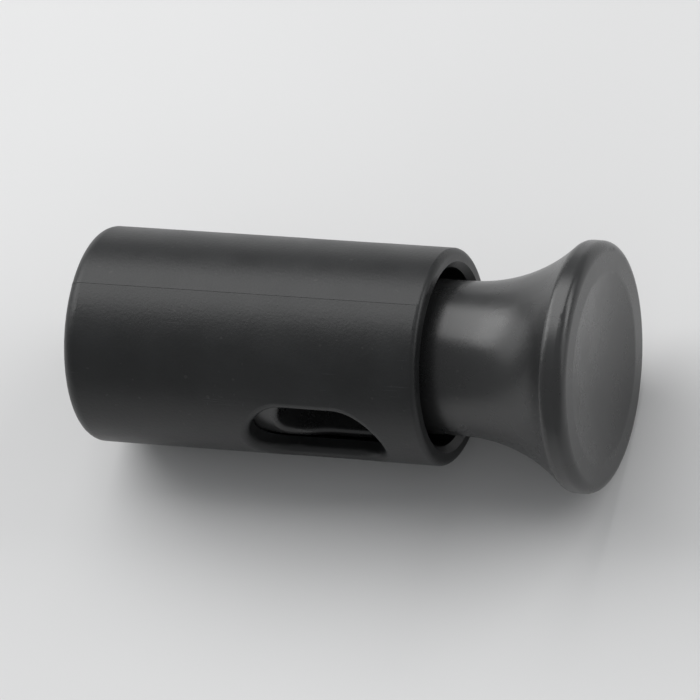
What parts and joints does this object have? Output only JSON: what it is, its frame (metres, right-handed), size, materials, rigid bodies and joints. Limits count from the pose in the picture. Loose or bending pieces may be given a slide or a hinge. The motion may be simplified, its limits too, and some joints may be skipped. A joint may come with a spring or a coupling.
{
  "type": "cord lock",
  "caption": "Spring-loaded cord lock: a round barrel crossed by an oblong cord hole, with a push plunger and flared thumb button that pinches the cord until it is pressed.",
  "frame": {"origin": "centre of the barrel's cord hole, on the barrel's axis", "axes": "+X along the barrel's axis towards the thumb button, the cord passes along Y, +Z away from the surface the lock lies on"},
  "size_m": [0.0306, 0.0142, 0.0142],
  "materials": {
    "barrel_plastic": "black moulded plastic, semi-matte",
    "plunger_plastic": "charcoal black moulded plastic, satin",
    "spring_steel": "drawn spring wire"
  },
  "bodies": {
    "barrel": {"barrel_body": "barrel_plastic", "compression_spring": "spring_steel"},
    "plunger": {"plunger": "plunger_plastic"}
  },
  "joints": [
    {"name": "plunger_slide", "type": "slide", "parent": "barrel", "child": "plunger", "axis": [1, 0, 0], "range_m": [-0.0015, 0.002], "stiffness_N_per_m": 600, "deforming": ["compression_spring"]}
  ]
}
